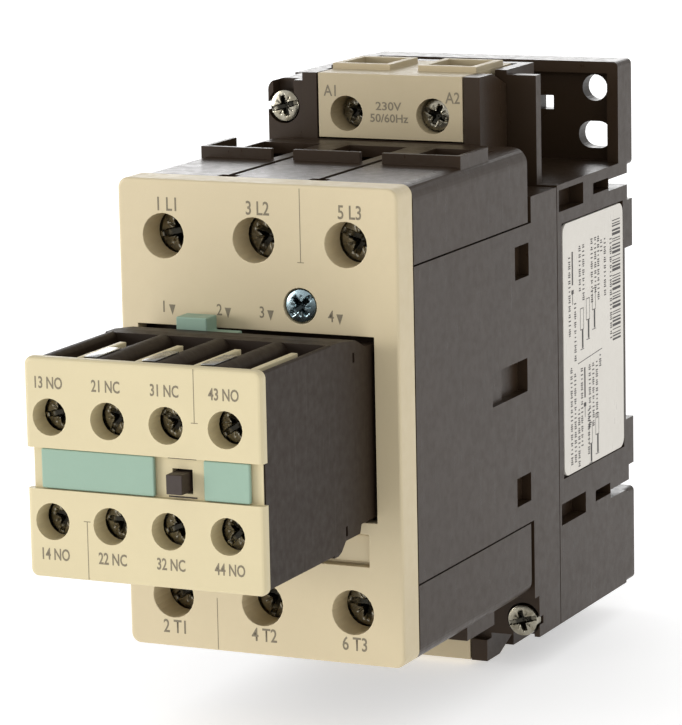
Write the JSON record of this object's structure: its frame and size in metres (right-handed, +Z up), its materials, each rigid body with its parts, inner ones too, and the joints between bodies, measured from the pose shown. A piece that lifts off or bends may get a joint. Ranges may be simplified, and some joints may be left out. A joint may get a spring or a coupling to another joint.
{
  "type": "din rail contactor",
  "caption": "Rail-mounted power contactor in dark plastic with a cream front cover, box terminals above and below, coil terminals and a clip-on front auxiliary block.",
  "frame": {"origin": "centre of the rail seat, the flat face that rests against the front of the 35 mm rail", "axes": "+X to the right seen from the front, -Y towards the viewer (the operating face), +Z up"},
  "size_m": [0.0551, 0.1614, 0.1156],
  "materials": {
    "dark_plastic": "dark brownish grey, fine spark texture",
    "inner_plastic": "dark, satin",
    "cream_plastic": "warm cream, satin",
    "aux_cream": "pale yellow cream, satin",
    "coil_cream": "tan cream, satin",
    "teal_plastic": "pale teal, satin",
    "label_film": "printed film, matt",
    "bobbin_plastic": "glass filled, natural",
    "zinc_steel": "zinc plated",
    "blue_zinc": "blue passivated zinc",
    "core_steel": "ground laminations",
    "spring_steel": "bright",
    "copper_alloy": "copper with silver tips",
    "copper_wire": "enamelled wire"
  },
  "bodies": {
    "base": {"rear_base": "dark_plastic", "front_housing": "dark_plastic", "line_terminal_block": "dark_plastic", "load_terminal_block": "dark_plastic", "front_cover": "cream_plastic", "cover_insert": "cream_plastic", "rating_label": "label_film", "rail_spring": "spring_steel", "fixed_core": "core_steel", "coil_bobbin": "bobbin_plastic", "coil_winding": "copper_wire", "return_spring_left": "spring_steel", "return_spring_right": "spring_steel", "line_contact_1": "copper_alloy", "load_contact_1": "copper_alloy", "line_contact_2": "copper_alloy", "load_contact_2": "copper_alloy", "line_contact_3": "copper_alloy", "load_contact_3": "copper_alloy", "coil_terminal_upper": "coil_cream", "coil_terminal_lower": "coil_cream", "housing_screw_upper": "zinc_steel", "housing_screw_lower": "zinc_steel", "cover_screw_upper": "blue_zinc", "cover_screw_lower": "blue_zinc", "aux_housing": "dark_plastic", "aux_face": "aux_cream", "aux_label_left": "teal_plastic", "aux_label_right": "teal_plastic"},
    "moving_contacts": {"armature_core": "core_steel", "contact_carrier": "inner_plastic", "moving_bridge_1": "copper_alloy", "moving_bridge_2": "copper_alloy", "moving_bridge_3": "copper_alloy"},
    "aux_slide": {"aux_plunger": "inner_plastic"},
    "rail_latch": {"rail_slider": "inner_plastic"},
    "release_catch": {"release_lever": "teal_plastic"},
    "line_screw_1": {"line_screw_1": "zinc_steel"},
    "line_clamp_1": {"line_clamp_1": "zinc_steel"},
    "line_screw_2": {"line_screw_2": "zinc_steel"},
    "line_clamp_2": {"line_clamp_2": "zinc_steel"},
    "line_screw_3": {"line_screw_3": "zinc_steel"},
    "line_clamp_3": {"line_clamp_3": "zinc_steel"},
    "load_screw_1": {"load_screw_1": "zinc_steel"},
    "load_clamp_1": {"load_clamp_1": "zinc_steel"},
    "load_screw_2": {"load_screw_2": "zinc_steel"},
    "load_clamp_2": {"load_clamp_2": "zinc_steel"},
    "load_screw_3": {"load_screw_3": "zinc_steel"},
    "load_clamp_3": {"load_clamp_3": "zinc_steel"},
    "coil_screw_a1": {"coil_screw_a1": "zinc_steel"},
    "coil_screw_a2": {"coil_screw_a2": "zinc_steel"},
    "aux_screw_upper_1": {"aux_screw_upper_1": "zinc_steel"},
    "aux_screw_upper_2": {"aux_screw_upper_2": "zinc_steel"},
    "aux_screw_upper_3": {"aux_screw_upper_3": "zinc_steel"},
    "aux_screw_upper_4": {"aux_screw_upper_4": "zinc_steel"},
    "aux_screw_lower_1": {"aux_screw_lower_1": "zinc_steel"},
    "aux_screw_lower_2": {"aux_screw_lower_2": "zinc_steel"},
    "aux_screw_lower_3": {"aux_screw_lower_3": "zinc_steel"},
    "aux_screw_lower_4": {"aux_screw_lower_4": "zinc_steel"}
  },
  "joints": [
    {"name": "magnet_stroke", "type": "slide", "parent": "base", "child": "moving_contacts", "axis": [0, 1, 0], "range_m": [0, 0.006], "stiffness_N_per_m": 1000, "springref_m": -0.008, "deforming": ["return_spring_left", "return_spring_right"]},
    {"name": "aux_plunger_stroke", "type": "slide", "parent": "base", "child": "aux_slide", "axis": [0, 1, 0], "range_m": [0, 0.006]},
    {"name": "rail_slider_travel", "type": "slide", "parent": "base", "child": "rail_latch", "axis": [0, 0, 1], "range_m": [0, 0.0025], "stiffness_N_per_m": 3000, "springref_m": -0.002, "deforming": ["rail_spring"]},
    {"name": "release_lever_travel", "type": "slide", "parent": "base", "child": "release_catch", "axis": [0, 0, 1], "range_m": [0, 0.002], "stiffness_N_per_m": 1500, "springref_m": -0.001},
    {"name": "line_clamp_1_travel", "type": "slide", "parent": "base", "child": "line_clamp_1", "axis": [0, -1, 0], "range_m": [0, 0.005]},
    {"name": "line_screw_1_turn", "type": "hinge", "parent": "base", "child": "line_screw_1", "pos_m": [-0.0185, -0.095, 0.03415], "axis": [0, 1, 0], "range_deg": [0, 1800]},
    {"name": "line_clamp_2_travel", "type": "slide", "parent": "base", "child": "line_clamp_2", "axis": [0, -1, 0], "range_m": [0, 0.005]},
    {"name": "line_screw_2_turn", "type": "hinge", "parent": "base", "child": "line_screw_2", "pos_m": [-0.0005, -0.095, 0.03415], "axis": [0, 1, 0], "range_deg": [0, 1800]},
    {"name": "line_clamp_3_travel", "type": "slide", "parent": "base", "child": "line_clamp_3", "axis": [0, -1, 0], "range_m": [0, 0.005]},
    {"name": "line_screw_3_turn", "type": "hinge", "parent": "base", "child": "line_screw_3", "pos_m": [0.0175, -0.095, 0.03415], "axis": [0, 1, 0], "range_deg": [0, 1800]},
    {"name": "load_clamp_1_travel", "type": "slide", "parent": "base", "child": "load_clamp_1", "axis": [0, -1, 0], "range_m": [0, 0.005]},
    {"name": "load_screw_1_turn", "type": "hinge", "parent": "base", "child": "load_screw_1", "pos_m": [-0.0185, -0.095, -0.03215], "axis": [0, 1, 0], "range_deg": [0, 1800]},
    {"name": "load_clamp_2_travel", "type": "slide", "parent": "base", "child": "load_clamp_2", "axis": [0, -1, 0], "range_m": [0, 0.005]},
    {"name": "load_screw_2_turn", "type": "hinge", "parent": "base", "child": "load_screw_2", "pos_m": [-0.0005, -0.095, -0.03215], "axis": [0, 1, 0], "range_deg": [0, 1800]},
    {"name": "load_clamp_3_travel", "type": "slide", "parent": "base", "child": "load_clamp_3", "axis": [0, -1, 0], "range_m": [0, 0.005]},
    {"name": "load_screw_3_turn", "type": "hinge", "parent": "base", "child": "load_screw_3", "pos_m": [0.0175, -0.095, -0.03215], "axis": [0, 1, 0], "range_deg": [0, 1800]},
    {"name": "coil_screw_a1_turn", "type": "hinge", "parent": "base", "child": "coil_screw_a1", "pos_m": [-0.0104, -0.042, 0.0492], "axis": [0, 1, 0], "range_deg": [0, 1440]},
    {"name": "coil_screw_a2_turn", "type": "hinge", "parent": "base", "child": "coil_screw_a2", "pos_m": [0.0076, -0.042, 0.0492], "axis": [0, 1, 0], "range_deg": [0, 1440]},
    {"name": "aux_screw_upper_1_turn", "type": "hinge", "parent": "base", "child": "aux_screw_upper_1", "pos_m": [-0.0178, -0.146, 0.0096], "axis": [0, 1, 0], "range_deg": [0, 1440]},
    {"name": "aux_screw_upper_2_turn", "type": "hinge", "parent": "base", "child": "aux_screw_upper_2", "pos_m": [-0.00667, -0.146, 0.0096], "axis": [0, 1, 0], "range_deg": [0, 1440]},
    {"name": "aux_screw_upper_3_turn", "type": "hinge", "parent": "base", "child": "aux_screw_upper_3", "pos_m": [0.00447, -0.146, 0.0096], "axis": [0, 1, 0], "range_deg": [0, 1440]},
    {"name": "aux_screw_upper_4_turn", "type": "hinge", "parent": "base", "child": "aux_screw_upper_4", "pos_m": [0.0156, -0.146, 0.0096], "axis": [0, 1, 0], "range_deg": [0, 1440]},
    {"name": "aux_screw_lower_1_turn", "type": "hinge", "parent": "base", "child": "aux_screw_lower_1", "pos_m": [-0.0178, -0.146, -0.0086], "axis": [0, 1, 0], "range_deg": [0, 1440]},
    {"name": "aux_screw_lower_2_turn", "type": "hinge", "parent": "base", "child": "aux_screw_lower_2", "pos_m": [-0.00667, -0.146, -0.0086], "axis": [0, 1, 0], "range_deg": [0, 1440]},
    {"name": "aux_screw_lower_3_turn", "type": "hinge", "parent": "base", "child": "aux_screw_lower_3", "pos_m": [0.00447, -0.146, -0.0086], "axis": [0, 1, 0], "range_deg": [0, 1440]},
    {"name": "aux_screw_lower_4_turn", "type": "hinge", "parent": "base", "child": "aux_screw_lower_4", "pos_m": [0.0156, -0.146, -0.0086], "axis": [0, 1, 0], "range_deg": [0, 1440]}
  ],
  "couplings": [
    {"joint": "aux_plunger_stroke", "follows": "magnet_stroke", "ratio": 1},
    {"joint": "line_screw_1_turn", "follows": "line_clamp_1_travel", "rad_per_m": 6283},
    {"joint": "line_screw_2_turn", "follows": "line_clamp_2_travel", "rad_per_m": 6283},
    {"joint": "line_screw_3_turn", "follows": "line_clamp_3_travel", "rad_per_m": 6283},
    {"joint": "load_screw_1_turn", "follows": "load_clamp_1_travel", "rad_per_m": 6283},
    {"joint": "load_screw_2_turn", "follows": "load_clamp_2_travel", "rad_per_m": 6283},
    {"joint": "load_screw_3_turn", "follows": "load_clamp_3_travel", "rad_per_m": 6283}
  ]
}
